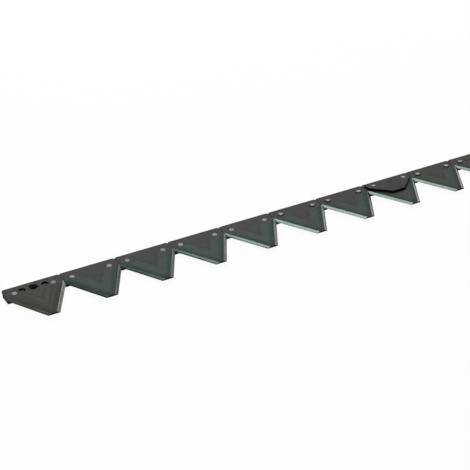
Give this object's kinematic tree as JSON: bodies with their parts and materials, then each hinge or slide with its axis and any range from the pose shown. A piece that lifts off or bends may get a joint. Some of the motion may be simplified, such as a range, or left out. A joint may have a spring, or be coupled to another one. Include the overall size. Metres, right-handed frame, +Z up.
{
  "type": "sickle bar mower knife",
  "caption": "Reciprocating mower knife: bevelled triangular sections riveted side by side to a flat bar, with a drive end and a wear plate.",
  "frame": {"origin": "on the underside of the knife back, below the middle of the whole knife's box", "axes": "+X along the knife from the drive end to the far end, -Y towards the section tips, +Z up"},
  "size_m": [0.7616, 0.0776, 0.0109],
  "materials": {
    "lacquered_steel": "dark tempered steel under thin green lacquer, ground bevels",
    "bare_steel": "dark tempered steel, oiled, ground bevels",
    "black_bar": "black rolled bar",
    "blackened_steel": "blackened plate, satin",
    "rivet_steel": "bare set rivets"
  },
  "bodies": {
    "root": {"knife_back": "black_bar", "drive_section": "bare_steel", "knife_section_02": "lacquered_steel", "knife_section_03": "lacquered_steel", "knife_section_04": "lacquered_steel", "knife_section_05": "lacquered_steel", "knife_section_06": "lacquered_steel", "knife_section_07": "lacquered_steel", "knife_section_08": "lacquered_steel", "knife_section_09": "lacquered_steel", "knife_section_10": "lacquered_steel", "wear_plate": "blackened_steel", "flush_rivets": "rivet_steel", "raised_rivets": "rivet_steel", "wear_plate_rivets": "rivet_steel"}
  },
  "joints": []
}
